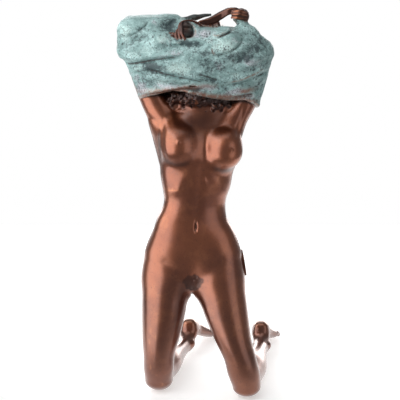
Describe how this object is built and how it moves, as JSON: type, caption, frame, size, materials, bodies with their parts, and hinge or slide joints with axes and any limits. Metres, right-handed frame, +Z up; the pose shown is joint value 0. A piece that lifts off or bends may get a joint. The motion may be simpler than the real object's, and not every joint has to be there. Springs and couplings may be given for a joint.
{
  "type": "kneeling female nude statue",
  "caption": "Cast bronze nude woman kneeling upright, arms raised inside a shirt she pulls over her head, with a small round plate on one hip.",
  "frame": {"origin": "on the ground under the middle of the figure's bounding box", "axes": "+Z up, the figure's front faces -Y, +X to the figure's own left"},
  "size_m": [0.135, 0.168, 0.3028],
  "materials": {
    "patinated_bronze": "glossy brown patina on the body, matt green and grey verdigris on the shirt",
    "dark_plate_bronze": "dark, slightly glossy"
  },
  "bodies": {
    "root": {"statue": "patinated_bronze", "hip_plate": "dark_plate_bronze"}
  },
  "joints": []
}
